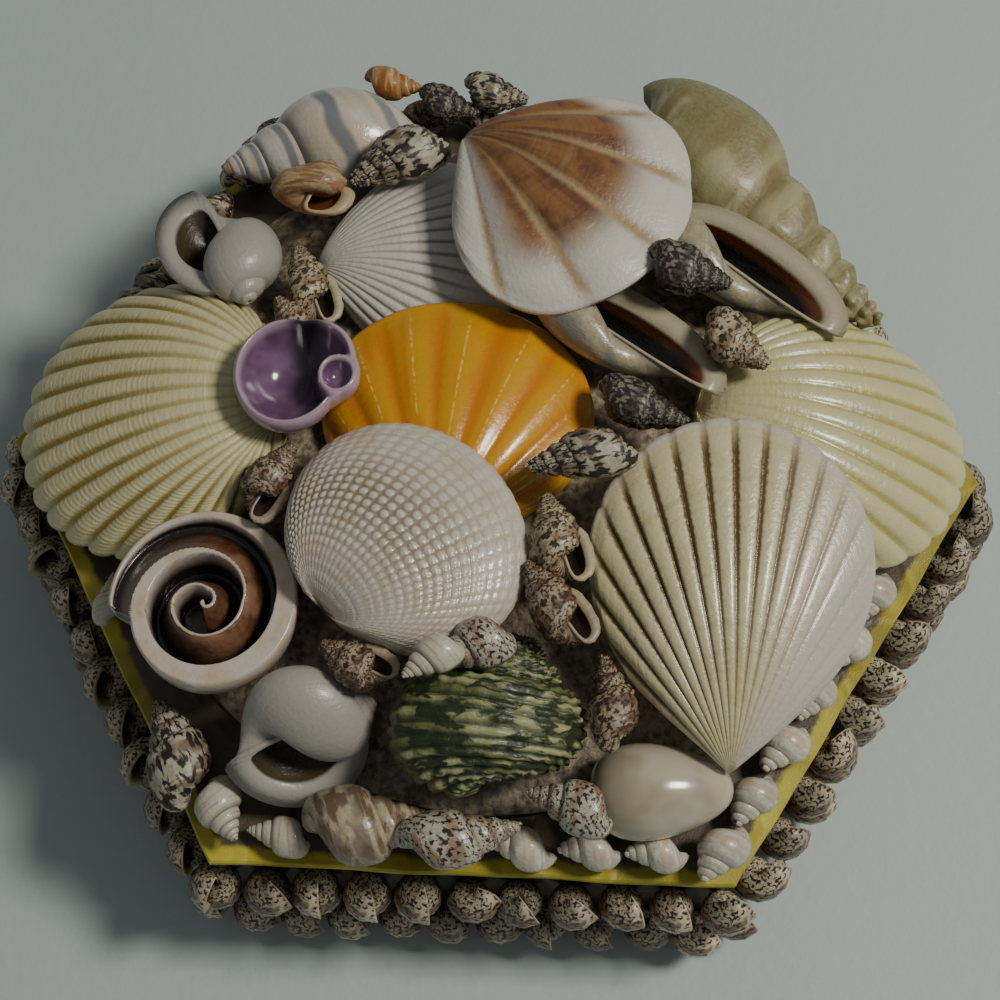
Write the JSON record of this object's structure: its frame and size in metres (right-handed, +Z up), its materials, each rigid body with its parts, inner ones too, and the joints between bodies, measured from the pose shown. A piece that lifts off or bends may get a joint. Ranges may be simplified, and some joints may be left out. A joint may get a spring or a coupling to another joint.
{
  "type": "shell box",
  "caption": "Low hexagonal trinket box with a lift-off lid, covered in glued sea shells: scallops and cockles heaped on the lid, small whelks standing in rows round the sides.",
  "frame": {"origin": "centre of the box's underside", "axes": "+Z up, +X towards a corner of the six-sided plan, -Y towards the flat front side"},
  "size_m": [0.1404, 0.122, 0.0541],
  "materials": {
    "yellow_paper": "paper-covered card, slightly glossy",
    "plaster": "plaster and clear glue",
    "cream_shell": "ribbed shell",
    "ribbed_shell": "ribbed glossy shell",
    "orange_shell": "glossy shell",
    "pink_shell": "pale glossy shell",
    "brown_shell": "dull ribbed shell",
    "white_shell": "smooth white shell",
    "tan_shell": "smooth dull shell",
    "green_shell": "corded shell",
    "violet_shell": "polished shell",
    "spotted_shell": "spotted shell"
  },
  "bodies": {
    "root": {"box_body": "yellow_paper", "lid_board": "yellow_paper", "glue_bed": "plaster", "whelks_upper_row": "spotted_shell", "whelks_lower_row": "spotted_shell", "cockle_left": "cream_shell", "cockle_right": "cream_shell", "conch_tan": "tan_shell", "moon_shell_cut": "white_shell", "white_cowrie": "cream_shell", "green_turban": "green_shell", "scallop_ribbed": "ribbed_shell", "spiral_slice": "pink_shell", "moon_shell_upper": "white_shell", "banded_turban": "white_shell", "scallop_white": "white_shell", "scallop_orange": "orange_shell", "strombus_upper": "tan_shell", "strombus_lower": "tan_shell", "scallop_brown_white": "brown_shell", "cockle_cancellate": "pink_shell", "violet_snail": "violet_shell", "small_whelk_orange_side": "spotted_shell", "small_whelk_striped": "spotted_shell", "small_whelk_mid": "spotted_shell", "small_whelk_long_mouth": "spotted_shell", "small_whelk_front": "spotted_shell", "small_whelk_back": "spotted_shell", "broken_brown_whelk": "spotted_shell", "small_whelk_by_moon": "spotted_shell", "tiny_cream_whelk": "spotted_shell", "small_whelk_left": "spotted_shell", "zigzag_whelk": "spotted_shell", "cream_stub": "cream_shell", "small_white_snail": "white_shell", "dove_shell": "spotted_shell", "spotted_cone": "white_shell", "spotted_cone_small": "white_shell", "blotched_whelk": "spotted_shell", "striped_snail": "white_shell", "broken_mouth_whelk": "spotted_shell", "yellow_striped_whelk": "spotted_shell", "dark_striped_whelk": "spotted_shell", "orange_snail": "orange_shell", "dark_whelk_right": "spotted_shell", "round_whelk_right": "spotted_shell", "pearly_snail": "white_shell", "border_front": "white_shell", "border_front_right": "white_shell", "border_back_right": "white_shell", "border_back": "spotted_shell", "border_back_left": "spotted_shell"}
  },
  "joints": []
}
